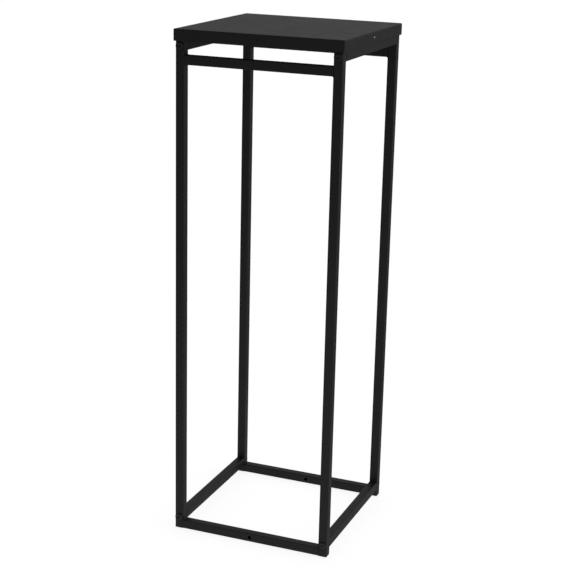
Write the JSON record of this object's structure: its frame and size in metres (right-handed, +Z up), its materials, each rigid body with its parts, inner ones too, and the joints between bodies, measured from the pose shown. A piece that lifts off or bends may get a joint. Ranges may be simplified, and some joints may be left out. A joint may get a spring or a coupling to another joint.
{
  "type": "display plinth",
  "caption": "Tall open display plinth: a shallow folded-steel tray on a knock-down frame of slim square steel tube, in black powder coat.",
  "frame": {"origin": "centre of the footprint, on the floor", "axes": "+Z up; the front, with one crossbar facing the viewer, is -Y; +X is to the right seen from the front"},
  "size_m": [0.3, 0.3, 0.9],
  "materials": {
    "black_powder_coat": "fine-texture matte black powder coat on steel",
    "black_zinc_bolts": "black zinc, satin",
    "plain_zinc_steel": "bright zinc plate",
    "black_nylon": "moulded, matte"
  },
  "bodies": {
    "frame": {"front_crossbar": "black_powder_coat", "front_floor_rail": "black_powder_coat", "front_frame_welds": "black_powder_coat", "front_left_leg": "black_powder_coat", "front_left_leg_cap": "black_nylon", "front_left_foot_plug": "black_nylon", "front_left_leg_bolts": "black_zinc_bolts", "front_right_leg": "black_powder_coat", "front_right_leg_cap": "black_nylon", "front_right_foot_plug": "black_nylon", "front_right_leg_bolts": "black_zinc_bolts", "rear_crossbar": "black_powder_coat", "rear_floor_rail": "black_powder_coat", "rear_frame_welds": "black_powder_coat", "rear_left_leg": "black_powder_coat", "rear_left_leg_cap": "black_nylon", "rear_left_foot_plug": "black_nylon", "rear_left_leg_bolts": "black_zinc_bolts", "rear_right_leg": "black_powder_coat", "rear_right_leg_cap": "black_nylon", "rear_right_foot_plug": "black_nylon", "rear_right_leg_bolts": "black_zinc_bolts", "left_top_rail": "black_powder_coat", "left_top_rail_threaded_blocks": "plain_zinc_steel", "left_bottom_rail": "black_powder_coat", "left_bottom_rail_threaded_blocks": "plain_zinc_steel", "right_top_rail": "black_powder_coat", "right_top_rail_threaded_blocks": "plain_zinc_steel", "right_bottom_rail": "black_powder_coat", "right_bottom_rail_threaded_blocks": "plain_zinc_steel"},
    "tray": {"top_tray": "black_powder_coat"}
  },
  "joints": [
    {"name": "tray_lift", "type": "slide", "parent": "frame", "child": "tray", "axis": [0, 0, 1], "range_m": [0, 0.03]}
  ]
}
